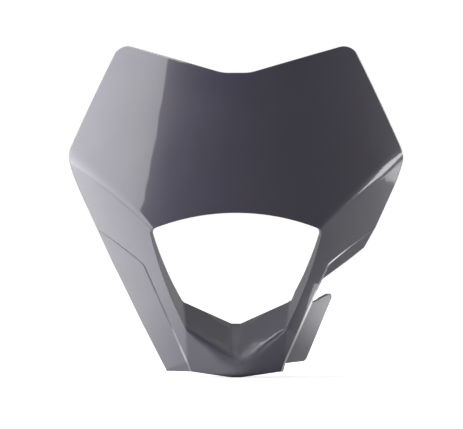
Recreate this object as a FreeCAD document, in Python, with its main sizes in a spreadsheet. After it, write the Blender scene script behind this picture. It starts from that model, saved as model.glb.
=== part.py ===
import FreeCAD, Part
import math
import os
import Sketcher
from FreeCAD import Vector

# Frame: the rider's side is +Y, the road is towards -Y, +X is the right of a viewer who faces the cowl and
# +Z is up. The cowl is a bounded stack of facets, each given by the way it looks: its turn is the facing
# direction's angle from straight ahead towards the cowl's own side, its rise the angle above the horizon, and
# its reach the distance of the facet's plane from the origin. Lengths are in millimetres, angles in degrees.

doc = FreeCAD.newDocument("HeadlightCowl")
sheet = doc.addObject("Spreadsheet::Sheet", "Sizes")

sizes = {
    # Moulding
    "wall": 2.75,
    "blockSize": 460,
    "cutReach": 200,
    "formDepth": 100,
    # Front plate, the front of an upright cone that narrows upwards, so that the plate leans back
    "plateRadius": 185,
    "plateFoot": 35.25,
    "plateFront": -42,
    "plateLeanAngle": 15,
    "coneBelow": 145,
    "coneAbove": 150,
    # Cheeks, slightly bowed sides that hang from the plate and run down along the pillars
    "cheekRadius": 330,
    "cheekYawAngle": 57.2,
    "cheekPitchAngle": 7.6,
    "cheekRollAngle": 18.5,
    "cheekX": 78.2,
    "cheekY": -2.7,
    # Step along each cheek, which leaves the wing behind it lower than the pillar
    "stepDepth": 0.95,
    "stepTurnAngle": 1.75,
    "stepLeanAngle": 0.3,
    "stepRun": 150,
    "stepCornerX": 71.8,
    "stepCornerZ": -3.1,
    "stepUpperAngle": 49.8,
    "stepLowerAngle": 66.7,
    "stepRound": 14,
    "stepSketchY": -5,
    "stepDraftAngle": 20,
    # Chin: a facet under the recess, then one that folds back under it, on each side of a narrow flat keel
    "browTurnAngle": 14,
    "browRiseAngle": -6.6,
    "browReach": 41,
    "browTop": -25,
    "chinTurnAngle": 29,
    "chinRiseAngle": -21.6,
    "chinReach": 58.2,
    "keelHalfWidth": 3.4,
    # Lamp recess
    "recessWallRadius": 240,
    "recessWallX": 54.7,
    "recessWallY": -29,
    "recessWallZ": -12.4,
    "recessWallYawAngle": 168.8,
    "recessWallPitchAngle": 70,
    "recessWallRollAngle": 67.4,
    "recessFloorTurnAngle": 135.3,
    "recessFloorRiseAngle": -50.3,
    "recessFloorReach": 43.1,
    "recessTopRadius": 168,
    "recessCornerRound": 4,
    "recessFootRound": 5,
    "lampPlaneTiltAngle": 26.1,
    "lampPlaneY": -12.85,
    # Outline seen from the front
    "topDip": 140.2,
    "topDipHalfWidth": 10.1,
    "topDipRound": 30,
    "topEdgeAngle": 16.4,
    "topCornerX": 86.8,
    "topCornerLeanAngle": 30,
    "topCornerRound": 12,
    "outlineHalfWidth": 150,
    "keelBottom": -87.5,
    "bottomEdge": -83.4,
    "bottomEdgeHalfWidth": 34,
    # Outline of the cheeks and the plate's sides, seen square to the cheeks
    "sideViewTurnAngle": 55,
    "sideTopOut": 66.1,
    "sideTopZ": 163.5,
    "sideWideOut": 96.3,
    "sideWideZ": 70.2,
    "sideWideRound": 50,
    "sideMidOut": 71.9,
    "sideMidZ": 1,
    "sideLowOut": 53,
    "sideLowZ": -47.5,
    "sideFootOut": 37.6,
    "sideBend": 120,
    "sideRunOff": 60,
    # Brake line cut-out, drawn in the same view on the +X cheek, and the wing that it leaves
    "notchCutNear": 32,
    "notchShoulderOut": 86.5,
    "notchShoulderZ": 36,
    "notchTopOut": 71.7,
    "notchTopZ": 9.25,
    "notchInnerOut": 27.8,
    "notchInnerZ": -14.8,
    "notchLowerOut": 20.9,
    "notchLowerZ": -32.6,
    "wingTipOut": 47.5,
    "wingTipZ": -22.8,
    "wingFootOut": 34.4,
    "wingFootZ": -75.8,
    "wingHeelOut": 10.9,
    "wingHeelZ": -77.2,
    "wingHeelShift": 1.5,
    "wingHeelDrop": 20,
    "wingTipRound": 4,
    "notchRound": 2,
    # Rounded creases
    "creaseRoundOuter": 20,
    "creaseRoundInner": 5,
    "jawRound": 7,
    # Lamp screws: blind pilot bores in four bosses, round the origin
    "lampScrewHalfX": 31,
    "lampScrewHalfZ": 60,
    "bossRadius": 4.75,
    "pilotRadius": 1.75,
    "pilotDepth": 15,
    "bossLength": 60,
    "gussetThickness": 2,
    "gussetFootReach": 22,
    "gussetSetback": 6,
    # Strap pegs behind the widest part
    "pegX": 96,
    "pegZ": 92,
    "pegRadius": 3.5,
    "pegEnd": 19,
    "pegHeadRadius": 6.5,
    "pegHeadThickness": 2.5,
    # Fender lugs inside the chin
    "lugX": 17,
    "lugWidth": 15,
    "lugThickness": 3.2,
    "lugZ": -77,
    "lugBoreY": 9,
    "lugBoreRadius": 3.1,
}

for row, (alias, value) in enumerate(sizes.items(), start=1):
    sheet.set(f"A{row}", alias)
    sheet.set(f"B{row}", str(value))
    sheet.setAlias(f"B{row}", alias)
doc.recompute()


def size(alias):
    return float(sheet.get(alias))


def bind(item, **expressions):
    for prop, text in expressions.items():
        item.setExpression(prop, text)
    return item


def cut(name, base, tool):
    item = doc.addObject("Part::Cut", name)
    item.Base = base
    item.Tool = tool
    return item


def common(name, shapes):
    item = doc.addObject("Part::MultiCommon", name)
    item.Shapes = shapes
    return item


def fuse(name, shapes):
    item = doc.addObject("Part::MultiFuse", name)
    item.Shapes = shapes
    return item


# Block of material behind one facet: its local -Y face lies on the facet's plane, moved inwards by inset
def facet(name, turn, rise, reach, inset, side=1):
    box = doc.addObject("Part::Box", name)
    bind(box, Length="Sizes.blockSize", Width="Sizes.blockSize", Height="Sizes.blockSize")
    look = f"placement(vector(0;0;0); rotation({side} * ({turn}); 0; -({rise})))"
    seat = f"placement(vector(-Sizes.blockSize/2; {inset} - ({reach}); -Sizes.blockSize/2); rotation(0;0;0))"
    return bind(box, Placement=f"{look} * {seat}")


# Round bar along Y that ends at the plane y = end
def bar(name, x, z, radius, length, end="0"):
    item = doc.addObject("Part::Cylinder", name)
    bind(item, Radius=radius, Height=length)
    return bind(item, Placement=f"placement(vector({x}; {end}; {z}); rotation(0; 0; 90))")


def block(name, x, y, z, wide, deep, high):
    item = doc.addObject("Part::Box", name)
    bind(item, Length=wide, Width=deep, Height=high)
    return bind(item, Placement=f"placement(vector({x}; {y}; {z}); rotation(0; 0; 0))")


# Upright rib through a boss's axis that widens from the boss, near its end, to the shell's front
def gusset(name, x, z, turn):
    item = doc.addObject("Part::Wedge", name)
    bind(item, Xmin="-Sizes.gussetFootReach", Xmax="Sizes.gussetFootReach", X2min="-Sizes.bossRadius",
         X2max="Sizes.bossRadius", Ymin="-Sizes.bossLength", Ymax="-Sizes.gussetSetback")
    for near in ("Zmin", "Z2min"):
        bind(item, **{near: "-Sizes.gussetThickness / 2"})
    for far in ("Zmax", "Z2max"):
        bind(item, **{far: "Sizes.gussetThickness / 2"})
    at = f"placement(vector({x}; 0; {z}); rotation(0; {turn}; 0))"
    return bind(item, Placement=at)


def plateCone(name, inset):
    cone = doc.addObject("Part::Cone", name)
    atFoot = f"Sizes.plateRadius - ({inset}) / cos(Sizes.plateLeanAngle * 1 deg)"
    slope = "tan(Sizes.plateLeanAngle * 1 deg)"
    bind(cone, Radius1=f"{atFoot} + Sizes.coneBelow * {slope}",
         Radius2=f"{atFoot} - Sizes.coneAbove * {slope}",
         Height="Sizes.coneBelow + Sizes.coneAbove")
    centre = "vector(0; Sizes.plateFront + Sizes.plateRadius; Sizes.plateFoot - Sizes.coneBelow)"
    return bind(cone, Placement=f"placement({centre}; rotation(0;0;0))")


def cheekDrum(name, inset, side, turnLess="0", leanLess="0"):
    drum = doc.addObject("Part::Cylinder", name)
    bind(drum, Radius=f"Sizes.cheekRadius - ({inset})", Height="Sizes.blockSize")
    at = f"vector({side} * Sizes.cheekX; Sizes.cheekY; 0)"
    yaw = f"{side} * (Sizes.cheekYawAngle - {turnLess})"
    look = f"rotation({yaw}; {side} * Sizes.cheekPitchAngle; Sizes.cheekRollAngle - {leanLess})"
    seat = "placement(vector(0; Sizes.cheekRadius; -Sizes.blockSize/2); rotation(0;0;0))"
    return bind(drum, Placement=f"placement({at}; {look}) * {seat}")


# Flat strip that cuts the ridge or valley where a facet meets its mirror image, a keel's width across
def keelFacet(name, turn, rise, reach, inset):
    box = doc.addObject("Part::Box", name)
    bind(box, Length="Sizes.blockSize", Width="Sizes.blockSize", Height="Sizes.blockSize")
    ahead = f"cos({rise} * 1 deg) * cos({turn} * 1 deg)"
    across = f"cos({rise} * 1 deg) * sin({turn} * 1 deg)"
    length = f"sqrt(({ahead})^2 + sin({rise} * 1 deg)^2)"
    tilt = f"atan2(sin({rise} * 1 deg); {ahead})"
    reachOfStrip = f"(({reach}) - Sizes.keelHalfWidth * {across}) / {length}"
    look = f"placement(vector(0;0;0); rotation(0; 0; -({tilt})))"
    corner = f"vector(-Sizes.blockSize/2; {inset} - {reachOfStrip}; -Sizes.blockSize/2)"
    seat = f"placement({corner}; rotation(0;0;0))"
    return bind(box, Placement=f"{look} * {seat}")


# Closed outline in a sketch's plane. Each corner is (across, up, radius or None), as text in the sheet's
# names.
def outline(name, corners):
    sketch = doc.addObject("Sketcher::SketchObject", name)
    count = len(corners)
    spots = []
    for across, up, radius in corners:
        spots.append(Vector(float(sketch.evalExpression(across)), float(sketch.evalExpression(up)), 0))
    starts = list(spots)
    ends = list(spots)
    arcs = {}
    for i, (across, up, radius) in enumerate(corners):
        if radius is None:
            continue
        size = float(sketch.evalExpression(radius))
        back = (spots[i - 1] - spots[i]).normalize()
        ahead = (spots[(i + 1) % count] - spots[i]).normalize()
        half = back.getAngle(ahead) / 2
        ends[i] = spots[i] + back * (size / math.tan(half))
        starts[i] = spots[i] + ahead * (size / math.tan(half))
        centre = spots[i] + (back + ahead).normalize() * (size / math.sin(half))
        turnsLeft = ahead.cross(back).z > 0
        first, last = (ends[i], starts[i]) if turnsLeft else (starts[i], ends[i])
        angles = [math.atan2((p - centre).y, (p - centre).x) for p in (first, last)]
        if angles[1] < angles[0]:
            angles[1] += 2 * math.pi
        circle = Part.Circle(centre, Vector(0, 0, 1), size)
        arcs[i] = (Part.ArcOfCircle(circle, *angles), turnsLeft)
    for i in range(count):
        sketch.addGeometry(Part.LineSegment(starts[i], ends[(i + 1) % count]), False)
    for i, (across, up, radius) in enumerate(corners):
        last = (i - 1) % count
        if radius is None:
            sketch.addConstraint(Sketcher.Constraint("Coincident", last, 2, i, 1))
            holder, end = i, 1
        else:
            holder = sketch.addGeometry(Part.Point(spots[i]), True)
            end = 1
            sketch.addConstraint(Sketcher.Constraint("PointOnObject", holder, 1, last))
            sketch.addConstraint(Sketcher.Constraint("PointOnObject", holder, 1, i))
            arc, turnsLeft = arcs[i]
            bend = sketch.addGeometry(arc, False)
            sketch.addConstraint(Sketcher.Constraint("Tangent", last, 2, bend, 1 if turnsLeft else 2))
            sketch.addConstraint(Sketcher.Constraint("Tangent", bend, 2 if turnsLeft else 1, i, 1))
            rounding = sketch.addConstraint(Sketcher.Constraint("Radius", bend, arc.Radius))
            sketch.setExpression(f"Constraints[{rounding}]", radius)
        x = sketch.addConstraint(Sketcher.Constraint("DistanceX", -1, 1, holder, end, spots[i].x))
        sketch.setExpression(f"Constraints[{x}]", across)
        y = sketch.addConstraint(Sketcher.Constraint("DistanceY", -1, 1, holder, end, spots[i].y))
        sketch.setExpression(f"Constraints[{y}]", up)
    return sketch


# Sketch plane that stands upright and faces the viewer who looks along +Y, turned about Z and moved back
def stand(sketch, turn="0", depth="0"):
    look = f"placement(vector(0;0;0); rotation({turn}; 0; 0))"
    return bind(sketch, Placement=f"{look} * placement(vector(0; {depth}; 0); rotation(0; 0; 90))")


def prism(name, sketch, direction, ahead, behind):
    item = doc.addObject("Part::Extrusion", name)
    item.Base = sketch
    item.DirMode = "Custom"
    item.Dir = direction
    item.Solid = True
    return bind(item, LengthFwd=ahead, LengthRev=behind)


sides = {"Left": -1, "Right": 1}


# Step pocket: everything outside the step line, down to a cheek surface that starts the step's depth further
# in and is turned a little to the front, so that the step runs out to nothing at its upper end
def stepPocket(name, inset, side):
    upper = "Sizes.stepCornerZ + Sizes.stepRun * sin(Sizes.stepUpperAngle * 1 deg)"
    lower = "Sizes.stepCornerZ - Sizes.stepRun * sin(Sizes.stepLowerAngle * 1 deg)"
    corners = [
        ("Sizes.stepCornerX + Sizes.stepRun * cos(Sizes.stepUpperAngle * 1 deg)", upper, None),
        ("Sizes.stepCornerX", "Sizes.stepCornerZ", "Sizes.stepRound"),
        ("Sizes.stepCornerX - Sizes.stepRun * cos(Sizes.stepLowerAngle * 1 deg)", lower, None),
        ("Sizes.blockSize / 2", lower, None),
        ("Sizes.blockSize / 2", upper, None),
    ]
    if side < 0:
        corners = [(f"-({x})", z, r) for x, z, r in reversed(corners)]
    sketch = stand(outline(f"{name}Line", corners), depth="Sizes.stepSketchY")
    draft = math.radians(size("stepDraftAngle"))
    direction = Vector(side * math.sin(draft), math.cos(draft), 0)
    region = prism(f"{name}Region", sketch, direction, "Sizes.cutReach", "Sizes.cutReach")
    lowered = f"{inset} + Sizes.stepDepth"
    face = cheekDrum(f"{name}Face", lowered, side, "Sizes.stepTurnAngle", "Sizes.stepLeanAngle")
    return cut(name, region, face)


# Rounds the plug's corners: under the plate at the top, and where its walls meet the floor
def roundPlug(name, base, growth):
    doc.recompute()
    more = float(base.evalExpression(growth))
    edges = []
    corners = {("recessTop", "recessWall"), ("recessFloor", "recessWall")}
    for number, edge, key in edgesBetween(base.Shape, corners):
        radius = size("recessCornerRound" if "recessTop" in key else "recessFootRound") + more
        edges.append((number, radius, radius))
    item = doc.addObject("Part::Fillet", name)
    item.Base = base
    item.Edges = edges
    return item


# Plug that fills the lamp recess; grown by the wall it gives the outside of the recess's walls
def recessPlug(name, growth):
    shapes = []
    for label, side in sides.items():
        wall = doc.addObject("Part::Cylinder", f"{name}Wall{label}")
        bind(wall, Radius=f"Sizes.recessWallRadius + {growth}", Height="Sizes.blockSize")
        at = f"vector({side} * Sizes.recessWallX; Sizes.recessWallY; Sizes.recessWallZ)"
        turns = f"{side} * Sizes.recessWallYawAngle; {side} * Sizes.recessWallPitchAngle"
        look = f"rotation({turns}; Sizes.recessWallRollAngle)"
        seat = "placement(vector(0; Sizes.recessWallRadius; -Sizes.blockSize/2); rotation(0;0;0))"
        bind(wall, Placement=f"placement({at}; {look}) * {seat}")
        shapes.append(wall)
        shapes.append(facet(f"{name}Floor{label}", "Sizes.recessFloorTurnAngle", "Sizes.recessFloorRiseAngle",
                            "Sizes.recessFloorReach", f"-({growth})", side))
    drum = doc.addObject("Part::Cylinder", f"{name}Top")
    bind(drum, Radius=f"Sizes.recessTopRadius + {growth}", Height="Sizes.blockSize")
    bind(drum, Placement="placement(vector(0; Sizes.blockSize/2; Sizes.plateFoot - Sizes.recessTopRadius);"
                         " rotation(0; 0; 90))")
    shapes.append(drum)
    shapes.append(keelFacet(f"{name}Keel", "Sizes.recessFloorTurnAngle", "Sizes.recessFloorRiseAngle",
                            "Sizes.recessFloorReach", f"-({growth})"))
    return roundPlug(name, common(f"{name}Sharp", shapes), growth)


browLook = ("Sizes.browTurnAngle", "Sizes.browRiseAngle", "Sizes.browReach")
chinLook = ("Sizes.chinTurnAngle", "Sizes.chinRiseAngle", "Sizes.chinReach")


# The form without its recess: plate, cheeks and chin, with the brow facets cut in below the lamp opening only
def convexForm(name, inset):
    shapes = [plateCone(f"{name}Plate", inset), keelFacet(f"{name}ChinKeel", *chinLook, inset)]
    brow = [keelFacet(f"{name}BrowKeel", *browLook, inset)]
    for label, side in sides.items():
        shapes.append(cheekDrum(f"{name}Cheek{label}", inset, side))
        shapes.append(facet(f"{name}Chin{label}", *chinLook, inset, side))
        brow.append(facet(f"{name}Brow{label}", *browLook, inset, side))
    below = block(f"{name}Below", "-Sizes.blockSize / 2", "-Sizes.blockSize / 2",
                  "Sizes.browTop - Sizes.blockSize", "Sizes.blockSize", "Sizes.blockSize", "Sizes.blockSize")
    waste = cut(f"{name}BrowWaste", below, common(f"{name}BrowBlock", brow))
    return cut(name, common(f"{name}Sharp", shapes), waste)


topCornerZ = "(Sizes.topDip + (Sizes.topCornerX - Sizes.topDipHalfWidth) * tan(Sizes.topEdgeAngle * 1 deg))"
shoulderDrop = "(Sizes.outlineHalfWidth - Sizes.topCornerX) / tan(Sizes.topCornerLeanAngle * 1 deg)"
shoulderZ = f"({topCornerZ} - {shoulderDrop})"
frontCorners = [
    ("-Sizes.outlineHalfWidth", "Sizes.bottomEdge", None),
    ("-Sizes.bottomEdgeHalfWidth", "Sizes.bottomEdge", None),
    ("-Sizes.keelHalfWidth", "Sizes.keelBottom", None),
    ("Sizes.keelHalfWidth", "Sizes.keelBottom", None),
    ("Sizes.bottomEdgeHalfWidth", "Sizes.bottomEdge", None),
    ("Sizes.outlineHalfWidth", "Sizes.bottomEdge", None),
    ("Sizes.outlineHalfWidth", shoulderZ, None),
    ("Sizes.topCornerX", topCornerZ, "Sizes.topCornerRound"),
    ("Sizes.topDipHalfWidth", "Sizes.topDip", "Sizes.topDipRound"),
    ("-Sizes.topDipHalfWidth", "Sizes.topDip", "Sizes.topDipRound"),
    ("-Sizes.topCornerX", topCornerZ, "Sizes.topCornerRound"),
    ("-Sizes.outlineHalfWidth", shoulderZ, None),
]
frontOutline = stand(outline("FrontOutline", frontCorners))
frontPrism = prism("FrontPrism", frontOutline, Vector(0, 1, 0), "Sizes.formDepth", "Sizes.formDepth")


roundKinds = {"cheek": "cheekRadius", "recessTop": "recessTopRadius", "recessWall": "recessWallRadius"}


# The facet that a face belongs to, told by its kind and the way it looks
def kindOf(face):
    surface = face.Surface
    if isinstance(surface, Part.Cone):
        return "plate"
    if isinstance(surface, Part.Cylinder):
        for kind, alias in roundKinds.items():
            if abs(surface.Radius - size(alias)) < 2 * size("wall"):
                return kind
        return "other"
    if not isinstance(surface, Part.Plane):
        return "rounding"
    u0, u1, v0, v1 = face.ParameterRange
    normal = face.normalAt((u0 + u1) / 2, (v0 + v1) / 2)
    best = ("other", 0.9995)
    for kind in ("brow", "chin", "recessFloor"):
        turn = math.radians(size(f"{kind}TurnAngle"))
        rise = math.radians(size(f"{kind}RiseAngle"))
        for side in sides.values():
            level = Vector(side * math.sin(turn), -math.cos(turn), 0)
            look = level * math.cos(rise) + Vector(0, 0, math.sin(rise))
            match = abs(normal.dot(look)) if kind == "recessFloor" else normal.dot(look)
            if match > best[1]:
                best = (kind, match)
    return best[0]


def edgesBetween(shape, pairs):
    kinds = {face.hashCode(): kindOf(face) for face in shape.Faces}
    found = []
    for number, edge in enumerate(shape.Edges, start=1):
        faces = shape.ancestorsOfType(edge, Part.Face)
        key = tuple(sorted(kinds[face.hashCode()] for face in faces))
        if key in pairs:
            found.append((number, edge, key))
    return found


def roundCreases(name, base, less):
    doc.recompute()
    wide = size("creaseRoundOuter") - less
    narrow = size("creaseRoundInner") - less
    jaw = size("jawRound") - less
    edges = []
    for number, edge, key in edgesBetween(base.Shape, {("cheek", "plate"), ("cheek", "chin")}):
        if key == ("cheek", "chin"):
            edges.append((number, jaw, jaw))
            continue
        first = edge.valueAt(edge.FirstParameter)
        last = edge.valueAt(edge.LastParameter)
        growing = abs(last.x) > abs(first.x)
        edges.append((number, narrow, wide) if growing else (number, wide, narrow))
    item = doc.addObject("Part::Fillet", name)
    item.Base = base
    item.Edges = edges
    return item


outer = common("OuterTrimmed", [convexForm("Outer", "0"), frontPrism])
outer = cut("OuterRecessed", outer, recessPlug("Recess", "0"))
outer = roundCreases("OuterRounded", outer, 0)
lampPlaneReach = "Sizes.lampPlaneY * cos(Sizes.lampPlaneTiltAngle * 1 deg)"
lampPlane = facet("LampPlane", "180", "Sizes.lampPlaneTiltAngle", lampPlaneReach, "0")
recessShell = common("RecessShell", [recessPlug("RecessOutside", "Sizes.wall"), lampPlane])
inner = cut("InnerRecessed", convexForm("Inner", "Sizes.wall"), recessShell)
inner = roundCreases("InnerRounded", inner, size("wall"))
for label, side in sides.items():
    outer = cut(f"Outer{label}Stepped", outer, stepPocket(f"Outer{label}Step", "0", side))
    inner = cut(f"Inner{label}Stepped", inner, stepPocket(f"Inner{label}Step", "Sizes.wall", side))
shell = cut("OpenShell", outer, inner)


inside = []
bores = []
for label, side in sides.items():
    for level, sign in {"Upper": 1, "Lower": -1}.items():
        x = f"{side} * Sizes.lampScrewHalfX"
        z = f"{sign} * Sizes.lampScrewHalfZ"
        inside.append(bar(f"Boss{level}{label}", x, z, "Sizes.bossRadius", "Sizes.bossLength"))
        bores.append(bar(f"Pilot{level}{label}", x, z, "Sizes.pilotRadius", "Sizes.pilotDepth"))
    for way, turn in {"Across": 0, "Up": 90}.items():
        x = f"{side} * Sizes.lampScrewHalfX"
        inside.append(gusset(f"Gusset{way}{label}", x, "Sizes.lampScrewHalfZ", turn))
    inside.append(bar(f"Peg{label}", f"{side} * Sizes.pegX", "Sizes.pegZ", "Sizes.pegRadius",
                      "Sizes.bossLength", "Sizes.pegEnd"))
    lugX = f"{side} * Sizes.lugX"
    inside.append(block(f"Lug{label}", f"{lugX} - Sizes.lugWidth / 2", "-Sizes.bossLength", "Sizes.lugZ",
                        "Sizes.lugWidth", "Sizes.bossLength + Sizes.lugBoreY", "Sizes.lugThickness"))
    end = doc.addObject("Part::Cylinder", f"LugEnd{label}")
    bind(end, Radius="Sizes.lugWidth / 2", Height="Sizes.lugThickness")
    bind(end, Placement=f"placement(vector({lugX}; Sizes.lugBoreY; Sizes.lugZ); rotation(0;0;0))")
    inside.append(end)
    bore = doc.addObject("Part::Cylinder", f"LugBore{label}")
    bind(bore, Radius="Sizes.lugBoreRadius", Height="3 * Sizes.lugThickness")
    under = "Sizes.lugZ - Sizes.lugThickness"
    bind(bore, Placement=f"placement(vector({lugX}; Sizes.lugBoreY; {under}); rotation(0;0;0))")
    bores.append(bore)
fittings = common("Fittings", [fuse("FittingBars", inside), outer])
shell = fuse("ShellWithFittings", [shell, fittings])

for label, side in sides.items():
    topSlope = "(Sizes.sideWideOut - Sizes.sideTopOut) / (Sizes.sideTopZ - Sizes.sideWideZ)"
    corners = [
        ("Sizes.sideFootOut", "Sizes.bottomEdge - Sizes.sideRunOff", None),
        ("Sizes.blockSize / 2", "Sizes.bottomEdge - Sizes.sideRunOff", None),
        ("Sizes.blockSize / 2", "Sizes.sideTopZ + Sizes.sideRunOff", None),
        (f"Sizes.sideTopOut - Sizes.sideRunOff * {topSlope}", "Sizes.sideTopZ + Sizes.sideRunOff", None),
        ("Sizes.sideWideOut", "Sizes.sideWideZ", "Sizes.sideWideRound"),
        ("Sizes.sideMidOut", "Sizes.sideMidZ", "Sizes.sideBend"),
        ("Sizes.sideLowOut", "Sizes.sideLowZ", "Sizes.sideBend"),
        ("Sizes.sideFootOut", "Sizes.bottomEdge", None),
    ]
    if side < 0:
        corners = [(f"-({x})", z, r) for x, z, r in reversed(corners)]
    sketch = stand(outline(f"SideOutline{label}", corners), f"{side} * Sizes.sideViewTurnAngle")
    turn = math.radians(side * size("sideViewTurnAngle"))
    viewed = Vector(math.sin(turn), -math.cos(turn), 0)
    waste = prism(f"SideWaste{label}", sketch, viewed, "Sizes.cutReach", "0")
    shell = cut(f"SideTrimmed{label}", shell, waste)

notchCorners = [
    ("Sizes.notchInnerOut", "Sizes.notchInnerZ", "Sizes.notchRound"),
    ("Sizes.notchLowerOut", "Sizes.notchLowerZ", "Sizes.notchRound"),
    ("Sizes.wingTipOut", "Sizes.wingTipZ", "Sizes.wingTipRound"),
    ("Sizes.wingFootOut", "Sizes.wingFootZ", "Sizes.wingTipRound"),
    ("Sizes.wingHeelOut", "Sizes.wingHeelZ", None),
    ("Sizes.wingHeelOut - Sizes.wingHeelShift", "Sizes.bottomEdge - Sizes.wingHeelDrop", None),
    ("Sizes.notchShoulderOut + Sizes.sideRunOff", "Sizes.bottomEdge - Sizes.wingHeelDrop", None),
    ("Sizes.notchShoulderOut + Sizes.sideRunOff", "Sizes.notchShoulderZ", None),
    ("Sizes.notchShoulderOut", "Sizes.notchShoulderZ", None),
    ("Sizes.notchTopOut", "Sizes.notchTopZ", "Sizes.notchRound"),
]
notchSketch = stand(outline("NotchOutline", notchCorners), "Sizes.sideViewTurnAngle")
turn = math.radians(size("sideViewTurnAngle"))
viewed = Vector(math.sin(turn), -math.cos(turn), 0)
notch = prism("NotchWaste", notchSketch, viewed, "Sizes.cutReach", "-Sizes.notchCutNear")
shell = cut("Notched", shell, notch)
pegHeads = [
    bar(f"PegHead{label}", f"{side} * Sizes.pegX", "Sizes.pegZ", "Sizes.pegHeadRadius",
        "Sizes.pegHeadThickness", "Sizes.pegEnd")
    for label, side in sides.items()
]
shell = fuse("Pegged", [shell] + pegHeads)
shell = cut("Bored", shell, fuse("Bores", bores))

shell.Label = "cowl_shell"
doc.recompute()

for item in doc.Objects:
    if "Invalid" in item.State or "Error" in item.State:
        raise SystemExit(f"{item.Name} failed: {item.State}")
shape = shell.Shape
if shape.isNull() or not shape.isValid() or len(shape.Solids) != 1:
    raise SystemExit("cowl_shell is not one valid solid")
print(shell.Label, "faces", len(shape.Faces), "volume", round(shape.Volume))
os.makedirs("parts", exist_ok=True)
shape.exportStep(f"parts/{shell.Label}.step")
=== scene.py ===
import math
import bmesh
import bpy
from mathutils import Matrix, Vector


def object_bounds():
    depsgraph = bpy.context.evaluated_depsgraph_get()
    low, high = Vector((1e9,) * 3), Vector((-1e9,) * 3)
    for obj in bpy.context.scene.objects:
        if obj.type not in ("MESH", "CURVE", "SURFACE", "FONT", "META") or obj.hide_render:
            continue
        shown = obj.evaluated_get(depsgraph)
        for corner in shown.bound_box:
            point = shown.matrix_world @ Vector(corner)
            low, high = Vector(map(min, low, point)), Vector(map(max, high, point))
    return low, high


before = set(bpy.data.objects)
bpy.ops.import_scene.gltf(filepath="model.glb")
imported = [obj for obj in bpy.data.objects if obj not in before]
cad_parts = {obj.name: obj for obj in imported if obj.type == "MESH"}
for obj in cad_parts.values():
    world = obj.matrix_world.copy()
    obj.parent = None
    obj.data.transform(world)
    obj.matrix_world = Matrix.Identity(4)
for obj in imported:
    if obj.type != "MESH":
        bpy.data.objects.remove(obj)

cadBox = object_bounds()
scene = bpy.context.scene
scene.view_settings.view_transform = "Standard"
print("frame loaded")

cameraSettings = {
    "distance": 6.0,          # a long way off, so that the front view is nearly flat
    "aim": (-0.0034, 0.0, 0.0341),
    "viewWidth": 0.34725,
    "sensor": 36.0,
    "clipEnd": 60.0,
}


def makeCamera(s):
    data = bpy.data.cameras.new("photoCamera")
    data.sensor_width = s["sensor"]
    data.lens = s["sensor"] * s["distance"] / s["viewWidth"]
    data.clip_end = s["clipEnd"]
    camera = bpy.data.objects.new("photoCamera", data)
    camera.location = Vector(s["aim"]) + Vector((0, -s["distance"], 0))
    camera.rotation_euler = (math.radians(90), 0, 0)
    scene.collection.objects.link(camera)
    scene.camera = camera


makeCamera(cameraSettings)
print("camera placed")


def feed(tree, socket, value):
    # A number is written on the socket, and another node's output is linked to it.
    if isinstance(value, (int, float)):
        socket.default_value = value
    else:
        tree.links.new(value, socket)


def addAxes(tree, vector):
    node = tree.nodes.new("ShaderNodeSeparateXYZ")
    tree.links.new(vector, node.inputs[0])
    return node.outputs


def addMath(tree, operation, *values, clamp=False):
    node = tree.nodes.new("ShaderNodeMath")
    node.operation = operation
    node.use_clamp = clamp
    for socket, value in zip(node.inputs, values):
        feed(tree, socket, value)
    return node.outputs[0]


def addRange(tree, value, fromSpan, toSpan=(0, 1), curve="SMOOTHSTEP"):
    node = tree.nodes.new("ShaderNodeMapRange")
    node.interpolation_type = curve
    titles = ("Value", "From Min", "From Max", "To Min", "To Max")
    for title, given in zip(titles, (value, *fromSpan, *toSpan)):
        feed(tree, node.inputs[title], given)
    return node.outputs["Result"]


def addMix(tree, factor, low, high):
    node = tree.nodes.new("ShaderNodeMix")
    for title, given in zip(("Factor", "A", "B"), (factor, low, high)):
        feed(tree, node.inputs[title], given)
    return node.outputs["Result"]


def makeCard(name, s, origin, along, corners):
    # A flat glowing card, out of the camera's sight. Its strength goes from the first level to
    # the second over the span of its length that fade gives, in metres.
    shape = bmesh.new()
    shape.faces.new([shape.verts.new((*corner, 0)) for corner in corners])
    mesh = bpy.data.meshes.new(name)
    shape.to_mesh(mesh)
    shape.free()
    card = bpy.data.objects.new(name, mesh)
    across = Vector((0, 1, 0))
    turn = Matrix((along, across, along.cross(across))).transposed().to_4x4()
    card.matrix_world = Matrix.Translation(origin) @ turn
    card.visible_camera = False
    scene.collection.objects.link(card)
    material = bpy.data.materials.new(name)
    material.use_nodes = True
    tree = material.node_tree
    tree.nodes.clear()
    coord = tree.nodes.new("ShaderNodeTexCoord")
    axes = addAxes(tree, coord.outputs["Object"])
    glow = tree.nodes.new("ShaderNodeEmission")
    tree.links.new(addRange(tree, axes["X"], s["fade"], s["levels"]), glow.inputs["Strength"])
    output = tree.nodes.new("ShaderNodeOutputMaterial")
    tree.links.new(glow.outputs[0], output.inputs["Surface"])
    mesh.materials.append(material)
    return card


# The key light is a wide wall of soft light at the left. The front plate mirrors its leaning
# front edge.
keyWall = {
    "x": -0.46,
    "front": -0.2069,         # where its front edge starts, at the foot
    "foot": -0.0875,
    "lean": 22.9,             # degrees, of its front and rear edges
    "wide": 0.72,
    "high": 1.5,
    "levels": (2.3, 4.0),     # it is dimmer near the foot
    "fade": (0.02, 0.09),
}


def makeKeyWall(s):
    slant = s["high"] * math.tan(math.radians(s["lean"]))
    corners = ((0, 0), (s["high"], -slant), (s["high"], s["wide"] - slant), (0, s["wide"]))
    foot = Vector((s["x"], s["front"], s["foot"]))
    makeCard("keyWall", s, foot, Vector((0, 0, 1)), corners)


makeKeyWall(keyWall)
print("key light placed")


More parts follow.
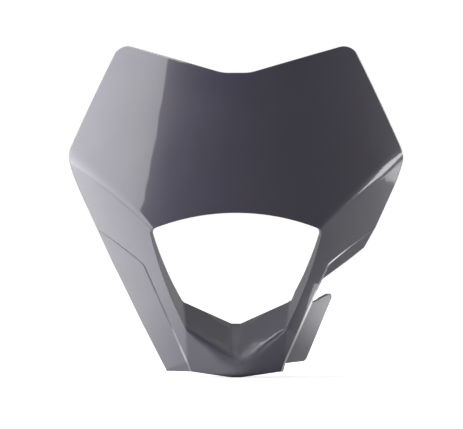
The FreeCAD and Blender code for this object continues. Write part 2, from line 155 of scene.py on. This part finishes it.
# Nine more cards are seen in reflections only, and throw no light or shadow. Five lie just above
# the floor and four stand.
def layCard(name, s):
    # x is its left and right side, and front and back are its y at those two sides.
    left, right = s["x"]
    corners = ((0, s["front"][0]), (right - left, s["front"][1]),
               (right - left, s["back"][1]), (0, s["back"][0]))
    card = makeCard(name, s, Vector((left, 0, s["z"])), Vector((1, 0, 0)), corners)
    card.visible_diffuse = card.visible_shadow = False


def standCard(name, s):
    # It stands square to x. y is its front and rear side, and z its foot and top.
    height, width = s["z"][1] - s["z"][0], s["y"][1] - s["y"][0]
    corners = ((0, 0), (height, 0), (height, width), (0, width))
    card = makeCard(name, s, Vector((s["x"], s["y"][0], s["z"][0])), Vector((0, 0, 1)), corners)
    card.visible_diffuse = card.visible_shadow = False


# The left cheek mirrors this one.
cheekCard = {"x": (-0.46, -0.06), "front": (-0.01, -0.01), "back": (0.32, 0.035), "z": -0.086,
             "levels": (2.4, 1.5), "fade": (0.22, 0.40)}
layCard("cheekCard", cheekCard)

# The left cheek's step line mirrors this one, and is dark.
stepCard = {"x": (-0.46, -0.05), "front": (0.335, 0.045), "back": (0.62, 0.62), "z": -0.086,
            "levels": (0.2, 0.2), "fade": (0.0, 1.0)}
layCard("stepCard", stepCard)

# The wing below the cut-out mirrors this one.
wingCard = {"x": (0.04, 0.225), "front": (-0.010, 0.033), "back": (0.20, 0.20), "z": -0.086,
            "levels": (0.8, 3.0), "fade": (0.04, 0.16)}
layCard("wingCard", wingCard)

# This one keeps the pillar at the right of the opening dark.
darkCard = {"x": (0.12, 0.34), "front": (-0.06, -0.06), "back": (0.09, 0.09), "z": -0.0868,
            "levels": (0.13, 0.45), "fade": (0.06, 0.22)}
layCard("darkCard", darkCard)

# The brow over the chin mirrors this one: its left half is dark, and its right half light.
browCard = {"x": (-0.22, 0.22), "front": (-0.32, -0.32), "back": (-0.088, -0.088), "z": -0.0868,
            "levels": (0.12, 2.1), "fade": (0.18, 0.28)}
layCard("browCard", browCard)

# The right corner of the front plate has its highlight from this one.
cornerCard = {"x": 0.50, "y": (0.22, 0.42), "z": (-0.086, 0.0), "levels": (2.7, 2.7),
              "fade": (0.0, 1.0)}
standCard("cornerCard", cornerCard)

# The right rim mirrors this one.
rimCard = {"x": 0.60, "y": (0.20, 0.70), "z": (0.10, 0.50), "levels": (3.2, 3.2),
           "fade": (0.0, 1.0)}
standCard("rimCard", rimCard)

# The crease of the right cheek catches this one.
streakCard = {"x": 0.80, "y": (0.03, 0.23), "z": (-0.086, 0.16), "levels": (6.0, 6.0),
              "fade": (0.0, 1.0)}
standCard("streakCard", streakCard)

# The soft V between recess and chin has its highlight from this one, high at the left.
topCard = {"x": -0.45, "y": (-0.70, 0.20), "z": (0.74, 1.40), "levels": (4.0, 13.0),
           "fade": (0.0, 0.25)}
standCard("topCard", topCard)
print("reflection cards placed")

# The edges here are spans of a direction's x, y or z, from -1 to 1.
roomSettings = {
    "fill": 0.85,                       # the soft light from all round
    "zenith": 0.05,                     # and the little that comes from above
    "front": 0.11,                      # in reflections, the room in front is darker
    "back": 0.28,                       # than at its sides and back
    "turn": (-0.35, 0.15),
    "backdropEdge": (0.94, 0.985),      # a white backdrop stands straight behind
    "right": 0.22,                      # the room is a little brighter at the right
    "rightEdge": (0.45, 0.95),
    "top": 0.38,                        # and overhead
    "topEdge": (0.71, 0.92),
}


def makeRoom(s):
    world = bpy.data.worlds.new("studioRoom")
    world.use_nodes = True
    scene.world = world
    tree = world.node_tree
    tree.nodes.clear()
    coord = tree.nodes.new("ShaderNodeTexCoord")
    axes = addAxes(tree, coord.outputs["Generated"])
    sides = addRange(tree, axes["Y"], s["turn"], (s["front"], s["back"]))
    behind = addRange(tree, axes["Y"], s["backdropEdge"], (sides, 1))
    right = addRange(tree, axes["X"], s["rightEdge"], (0, s["right"]))
    top = addRange(tree, axes["Z"], s["topEdge"], (0, s["top"]))
    room = addMath(tree, "ADD", behind, addMath(tree, "ADD", top, right))
    fill = addRange(tree, axes["Z"], (0, 1), (s["fill"], s["zenith"]), "LINEAR")
    rays = tree.nodes.new("ShaderNodeLightPath").outputs
    mirrored = addMath(tree, "MAXIMUM", rays["Is Glossy Ray"], rays["Is Transmission Ray"])
    seen = addMix(tree, rays["Is Camera Ray"], addMix(tree, mirrored, fill, room), 1)
    background = tree.nodes.new("ShaderNodeBackground")
    background.inputs["Color"].default_value = (1, 1, 1, 1)
    tree.links.new(seen, background.inputs["Strength"])
    output = tree.nodes.new("ShaderNodeOutputWorld")
    tree.links.new(background.outputs[0], output.inputs[0])


makeRoom(roomSettings)
print("room built")

floorSettings = {
    "half": 12.0,
    "gap": 0.0002,                      # metres below the cowl's lowest point
    "colour": 0.80,
    "roughness": 0.9,
    "nearLift": 0.58,                   # the floor turns white away from the object and its shadow
    "fade": (0.14, 0.42),
    "mirrorLift": 0.55,                 # reflections show the floor in front clear of shadow,
    "mirrorFade": (0.02, -0.04),
    "mirrorSide": (0.035, -0.015),      # and brighter towards the key light
}


def makeFloor(s):
    bpy.ops.mesh.primitive_plane_add(size=2 * s["half"], location=(0, 0, cadBox[0].z - s["gap"]))
    floor = bpy.context.object
    floor.name = "studioFloor"
    material = bpy.data.materials.new("paleFloor")
    material.use_nodes = True
    tree = material.node_tree
    shader = tree.nodes["Principled BSDF"]
    shader.inputs["Base Color"].default_value = (s["colour"], s["colour"], s["colour"], 1)
    shader.inputs["Roughness"].default_value = s["roughness"]
    shader.inputs["Specular IOR Level"].default_value = 0.0
    shader.inputs["Emission Color"].default_value = (1, 1, 1, 1)
    coord = tree.nodes.new("ShaderNodeTexCoord")
    far = tree.nodes.new("ShaderNodeVectorMath")
    far.operation = "LENGTH"
    tree.links.new(coord.outputs["Object"], far.inputs[0])
    lift = addRange(tree, far.outputs["Value"], s["fade"], (s["nearLift"], 1))
    axes = addAxes(tree, coord.outputs["Object"])
    # Painted reflection: for glossy rays only, the floor glows in front of the object, and more
    # towards the key light.
    inFront = addRange(tree, axes["Y"], s["mirrorFade"], (0, s["mirrorLift"]))
    mirrorLift = addMath(tree, "MULTIPLY", inFront, addRange(tree, axes["X"], s["mirrorSide"]))
    rays = tree.nodes.new("ShaderNodeLightPath").outputs
    mirrored = addMath(tree, "MULTIPLY", rays["Is Glossy Ray"], mirrorLift)
    seen = addMath(tree, "MULTIPLY_ADD", rays["Is Camera Ray"], lift, mirrored)
    tree.links.new(seen, shader.inputs["Emission Strength"])
    floor.data.materials.append(material)


makeFloor(floorSettings)
print("floor laid")


def newGroup(name, inputs, outputs):
    group = bpy.data.node_groups.new(name, "ShaderNodeTree")
    for direction, sockets in (("INPUT", inputs), ("OUTPUT", outputs)):
        for title, kind in sockets:
            group.interface.new_socket(title, in_out=direction, socket_type=kind)
    return group, group.nodes.new("NodeGroupInput"), group.nodes.new("NodeGroupOutput")


def useGroup(tree, group, **links):
    node = tree.nodes.new("ShaderNodeGroup")
    node.node_tree = group
    for title, value in links.items():
        tree.links.new(value, node.inputs[title])
    return node.outputs


def addNoise(tree, vector, scale, detail, distortion=0.0):
    node = tree.nodes.new("ShaderNodeTexNoise")
    node.inputs["Scale"].default_value = scale
    node.inputs["Detail"].default_value = detail
    node.inputs["Distortion"].default_value = distortion
    tree.links.new(vector, node.inputs["Vector"])
    return node.outputs[0]


def addStretch(tree, vector, scale, turn=(0.0, 0.0, 0.0)):
    node = tree.nodes.new("ShaderNodeMapping")
    node.inputs["Rotation"].default_value = turn
    node.inputs["Scale"].default_value = scale
    tree.links.new(vector, node.inputs["Vector"])
    return node.outputs[0]


def addColourMix(tree, factor, low, high):
    node = tree.nodes.new("ShaderNodeMix")
    node.data_type = "RGBA"
    tree.links.new(factor, node.inputs["Factor"])
    for socket, value in zip([i for i in node.inputs if i.type == "RGBA"], (low, high)):
        if isinstance(value, tuple):
            socket.default_value = (*value, 1)
        else:
            tree.links.new(value, socket)
    return [o for o in node.outputs if o.type == "RGBA"][0]


# Slow waves from cooling, and the slight orange peel of a polished mould. Each row is a noise
# scale, its detail and a height in metres.
mouldWaves = {"slow": (16.0, 1.0, 0.00034), "ripple": (55.0, 1.5, 0.00007),
              "peel": (620.0, 1.0, 0.000003)}


def makeMouldWaves(s):
    group, given, result = newGroup("mouldWaves", [("Vector", "NodeSocketVector")],
                                    [("Height", "NodeSocketFloat")])
    height = 0.0
    for scale, detail, size in (s["slow"], s["ripple"], s["peel"]):
        noise = addNoise(group, given.outputs["Vector"], scale, detail)
        height = addMath(group, "MULTIPLY_ADD", noise, size, height)
    group.links.new(height, result.inputs["Height"])
    return group


# The rear has the spark-eroded texture of an unpolished mould, with faint drag marks from its
# release. Depths are in metres.
insideTexture = {"pitScale": 1100.0, "pitDepth": 0.00004, "dragScale": (900.0, 60.0, 900.0),
                 "dragDetail": 2.0, "dragDepth": 0.000012, "toneScale": 38.0, "toneDetail": 4.0,
                 "toneSpan": (0.35, 0.65)}


def makeInsideTexture(s):
    group, given, result = newGroup("insideTexture", [("Vector", "NodeSocketVector")],
                                    [("Height", "NodeSocketFloat"), ("Tone", "NodeSocketFloat")])
    place = given.outputs["Vector"]
    pits = group.nodes.new("ShaderNodeTexVoronoi")
    pits.inputs["Scale"].default_value = s["pitScale"]
    group.links.new(place, pits.inputs["Vector"])
    grain = addMath(group, "MULTIPLY", pits.outputs["Distance"], s["pitDepth"])
    drag = addNoise(group, addStretch(group, place, s["dragScale"]), 1.0, s["dragDetail"])
    height = addMath(group, "MULTIPLY_ADD", drag, s["dragDepth"], grain)
    group.links.new(height, result.inputs["Height"])
    cloud = addNoise(group, place, s["toneScale"], s["toneDetail"])
    group.links.new(addRange(group, cloud, s["toneSpan"]), result.inputs["Tone"])
    return group


# Cloudy wiping marks and fine dust, from 0 to 1.
handlingMarks = {"wipeTurn": (0.0, 0.5, 0.0), "wipeScale": (9.0, 9.0, 26.0), "wipeDetail": 5.0,
                 "wipeDistortion": 0.6, "smearSpan": (0.42, 0.66), "dustScale": 2600.0,
                 "dustDetail": 1.0, "dustSpan": (0.66, 0.74)}


def makeHandlingMarks(s):
    group, given, result = newGroup("handlingMarks", [("Vector", "NodeSocketVector")],
                                    [("Smear", "NodeSocketFloat"), ("Dust", "NodeSocketFloat")])
    place = given.outputs["Vector"]
    wiped = addStretch(group, place, s["wipeScale"], s["wipeTurn"])
    smear = addNoise(group, wiped, 1.0, s["wipeDetail"], s["wipeDistortion"])
    group.links.new(addRange(group, smear, s["smearSpan"]), result.inputs["Smear"])
    dust = addNoise(group, place, s["dustScale"], s["dustDetail"])
    group.links.new(addRange(group, dust, s["dustSpan"]), result.inputs["Dust"])
    return group


# Breaks the edge mask up into rubbed stretches.
edgeWear = {"broadScale": 24.0, "broadSpan": (0.40, 0.68), "fineScale": 420.0,
            "fineSpan": (0.35, 0.70), "fineLeast": 0.35, "detail": 3.0}


def makeEdgeWear(s):
    inputs = [("Vector", "NodeSocketVector"), ("Edge", "NodeSocketFloat")]
    group, given, result = newGroup("edgeWear", inputs, [("Wear", "NodeSocketFloat")])
    place = given.outputs["Vector"]
    broad = addRange(group, addNoise(group, place, s["broadScale"], s["detail"]), s["broadSpan"])
    fine = addRange(group, addNoise(group, place, s["fineScale"], s["detail"]), s["fineSpan"],
                    (s["fineLeast"], 1))
    rubbed = addMath(group, "MULTIPLY", broad, fine)
    worn = addMath(group, "MULTIPLY", rubbed, given.outputs["Edge"], clamp=True)
    group.links.new(worn, result.inputs["Wear"])
    return group


# The pigment is not quite even: slow clouds, and flow lines out from the gate at the opening.
pigment = {
    "colour": (0.052, 0.048, 0.076),      # dark grey plastic with a little violet
    "warmColour": (0.057, 0.051, 0.073),
    "flowScale": (34.0, 34.0, 5.0),
    "flowDistortion": 0.4,
    "cloudScale": 11.0,
    "detail": 3.0,
    "share": 0.5,                         # of each of the two
    "span": (0.38, 0.62),
}


def makePigment(s):
    group, given, result = newGroup("pigment", [("Vector", "NodeSocketVector")],
                                    [("Color", "NodeSocketColor")])
    place = given.outputs["Vector"]
    flow = addNoise(group, addStretch(group, place, s["flowScale"]), 1.0, s["detail"],
                    s["flowDistortion"])
    cloud = addNoise(group, place, s["cloudScale"], s["detail"])
    both = addMath(group, "MULTIPLY_ADD", flow, s["share"],
                   addMath(group, "MULTIPLY", cloud, s["share"]))
    mixed = addColourMix(group, addRange(group, both, s["span"]), s["colour"], s["warmColour"])
    group.links.new(mixed, result.inputs["Color"])
    return group


shellFinish = {
    # Rounding of the edges in the shading, and the places it depends on, in metres.
    "edgeRound": 0.0010,                  # on every moulded edge
    "stepCut": 0.0006,                    # less on the crisp step line of the left cheek
    "stepSlope": 0.35,
    "stepPast": (0.0598, 0.0638),
    "rimRound": 0.0019,                   # on the rim of the front plate
    "rimHeight": (0.030, 0.048),
    "creaseRound": 0.0060,                # on the soft V between recess and chin
    "creaseFoot": -0.069,                 # its height at the middle
    "creaseSlope": 0.52,                  # and its rise for each metre sideways
    "creaseBand": (0.013, 0.007),
    "creaseFront": (-0.010, -0.018),
    "creaseReach": (0.037, 0.030),
    "foldRound": 0.0110,                  # on the soft fold down the middle of the recess floor
    "foldReach": (0.024, 0.012),
    "foldTop": (-0.028, -0.034),
    "roundSamples": 12,
    "edgeBend": (0.97, 0.80),             # how far a rounded normal turns away where an edge wears
    "insideFacing": (0.15, 0.35),         # how far a face turns to the rear before it is matt
    # Painted shade: where ambient occlusion finds a surface within cavityReach, in the step line,
    # creases and corners, the colour is darkened, the gloss taken off and the roughness raised.
    "cavityReach": 0.004,
    "cavityShade": (0.92, 0.62),
    "cavitySamples": 6,
    # Colours, and how far each mask brings its own in.
    "wornColour": (0.115, 0.112, 0.125),
    "paintedShadeColour": (0.012, 0.011, 0.016),
    "specularTint": (0.97, 0.955, 1.0),
    "wearShare": 0.6,
    "dustShare": 0.12,
    "paintedShadeShare": 0.55,
    # Roughness, and what each mask adds to it.
    "roughness": 0.305,
    "smearRoughness": 0.05,
    "wearRoughness": 0.16,
    "insideRoughness": 0.24,
    "toneRoughness": 0.06,
    "cavityRoughness": 0.35,
    # The gloss over it, and the share that each mask takes off.
    "coat": 1.03,
    "coatRoughness": 0.04,
    "smearCoat": 0.08,
    "wearCoat": 0.5,
    "insideCoat": 0.9,
}


def addRounding(tree, place, s):
    # Gives the rounded normal, and a mask of the edges that wear.
    axes = addAxes(tree, place)
    side = addMath(tree, "ABSOLUTE", axes["X"])
    line = addMath(tree, "MULTIPLY_ADD", side, s["creaseSlope"], s["creaseFoot"])
    off = addMath(tree, "ABSOLUTE", addMath(tree, "SUBTRACT", axes["Z"], line))
    crease = addMath(tree, "MULTIPLY", addRange(tree, off, s["creaseBand"]),
                     addRange(tree, axes["Y"], s["creaseFront"]))
    crease = addMath(tree, "MULTIPLY", crease, addRange(tree, side, s["creaseReach"]))
    fold = addMath(tree, "MULTIPLY", addRange(tree, side, s["foldReach"]),
                   addRange(tree, axes["Z"], s["foldTop"]))
    past = addMath(tree, "SUBTRACT", addMath(tree, "MULTIPLY", axes["Z"], -s["stepSlope"]),
                   axes["X"])
    radius = addRange(tree, axes["Z"], s["rimHeight"], (s["edgeRound"], s["rimRound"]))
    radius = addMath(tree, "SUBTRACT", radius,
                     addRange(tree, past, s["stepPast"], (0, s["stepCut"])))
    radius = addMath(tree, "MULTIPLY_ADD", crease, s["creaseRound"] - s["edgeRound"], radius)
    radius = addMath(tree, "MULTIPLY_ADD", fold, s["foldRound"] - s["edgeRound"], radius)
    rounded = tree.nodes.new("ShaderNodeBevel")
    rounded.samples = s["roundSamples"]
    tree.links.new(radius, rounded.inputs["Radius"])
    geometry = tree.nodes.new("ShaderNodeNewGeometry")
    bend = tree.nodes.new("ShaderNodeVectorMath")
    bend.operation = "DOT_PRODUCT"
    tree.links.new(rounded.outputs[0], bend.inputs[0])
    tree.links.new(geometry.outputs["Normal"], bend.inputs[1])
    edge = addMath(tree, "MULTIPLY", addRange(tree, bend.outputs["Value"], s["edgeBend"]),
                   addMath(tree, "SUBTRACT", 1, crease))
    return rounded.outputs[0], edge


# Painted shade: a mask from ambient occlusion, near 1 in tight creases and corners.
def addPaintedCavityShade(tree, s):
    node = tree.nodes.new("ShaderNodeAmbientOcclusion")
    node.samples = s["cavitySamples"]
    node.inputs["Distance"].default_value = s["cavityReach"]
    return addRange(tree, node.outputs["AO"], s["cavityShade"])


def makeShellMaterial(s):
    material = bpy.data.materials.new("mouldedShell")
    material.use_nodes = True
    tree = material.node_tree
    shader = tree.nodes["Principled BSDF"]
    shader.inputs["Coat Roughness"].default_value = s["coatRoughness"]
    shader.inputs["Specular Tint"].default_value = (*s["specularTint"], 1)
    coord = tree.nodes.new("ShaderNodeTexCoord")
    place = coord.outputs["Object"]
    inside = addRange(tree, addAxes(tree, coord.outputs["Normal"])["Y"], s["insideFacing"])
    rounded, edge = addRounding(tree, place, s)
    paintedCavityShade = addPaintedCavityShade(tree, s)

    waves = useGroup(tree, makeMouldWaves(mouldWaves), Vector=place)
    texture = useGroup(tree, makeInsideTexture(insideTexture), Vector=place)
    marks = useGroup(tree, makeHandlingMarks(handlingMarks), Vector=place)
    wear = useGroup(tree, makeEdgeWear(edgeWear), Vector=place, Edge=edge)["Wear"]
    plastic = useGroup(tree, makePigment(pigment), Vector=place)

    bump = tree.nodes.new("ShaderNodeBump")
    bump.inputs["Distance"].default_value = 1.0
    height = addMath(tree, "MULTIPLY_ADD", texture["Height"], inside, waves["Height"])
    tree.links.new(height, bump.inputs["Height"])
    tree.links.new(rounded, bump.inputs["Normal"])
    tree.links.new(bump.outputs[0], shader.inputs["Normal"])
    tree.links.new(bump.outputs[0], shader.inputs["Coat Normal"])

    colour = plastic["Color"]
    # Wear and dust lighten the colour; the last mix paints shade into the creases and corners.
    for mask, share, tone in ((wear, s["wearShare"], s["wornColour"]),
                              (marks["Dust"], s["dustShare"], s["wornColour"]),
                              (paintedCavityShade, s["paintedShadeShare"], s["paintedShadeColour"])):
        colour = addColourMix(tree, addMath(tree, "MULTIPLY", mask, share), colour, tone)
    tree.links.new(colour, shader.inputs["Base Color"])

    rough = s["roughness"]
    tone = addMath(tree, "MULTIPLY", inside, s["toneRoughness"])
    for mask, more in ((marks["Smear"], s["smearRoughness"]), (wear, s["wearRoughness"]),
                       (inside, s["insideRoughness"]), (texture["Tone"], tone)):
        rough = addMath(tree, "MULTIPLY_ADD", mask, more, rough)
    rough = addMath(tree, "MULTIPLY_ADD", paintedCavityShade, s["cavityRoughness"], rough, clamp=True)
    tree.links.new(rough, shader.inputs["Roughness"])

    coat = addMath(tree, "MULTIPLY_ADD", inside, -s["insideCoat"], 1)
    for mask, less, full in ((marks["Smear"], s["smearCoat"], s["coat"]),
                             (wear, s["wearCoat"], 1)):
        coat = addMath(tree, "MULTIPLY", coat, addMath(tree, "MULTIPLY_ADD", mask, -less, full))
    # Painted shade on the gloss: the coat is taken off in the creases and corners.
    clear = addMath(tree, "SUBTRACT", 1, paintedCavityShade)
    coat = addMath(tree, "MULTIPLY", coat, clear, clamp=True)
    tree.links.new(coat, shader.inputs["Coat Weight"])
    return material


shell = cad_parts["cowl_shell"]
shellMaterial = makeShellMaterial(shellFinish)
for slot in shell.material_slots:
    slot.material = shellMaterial
print("shell finished")
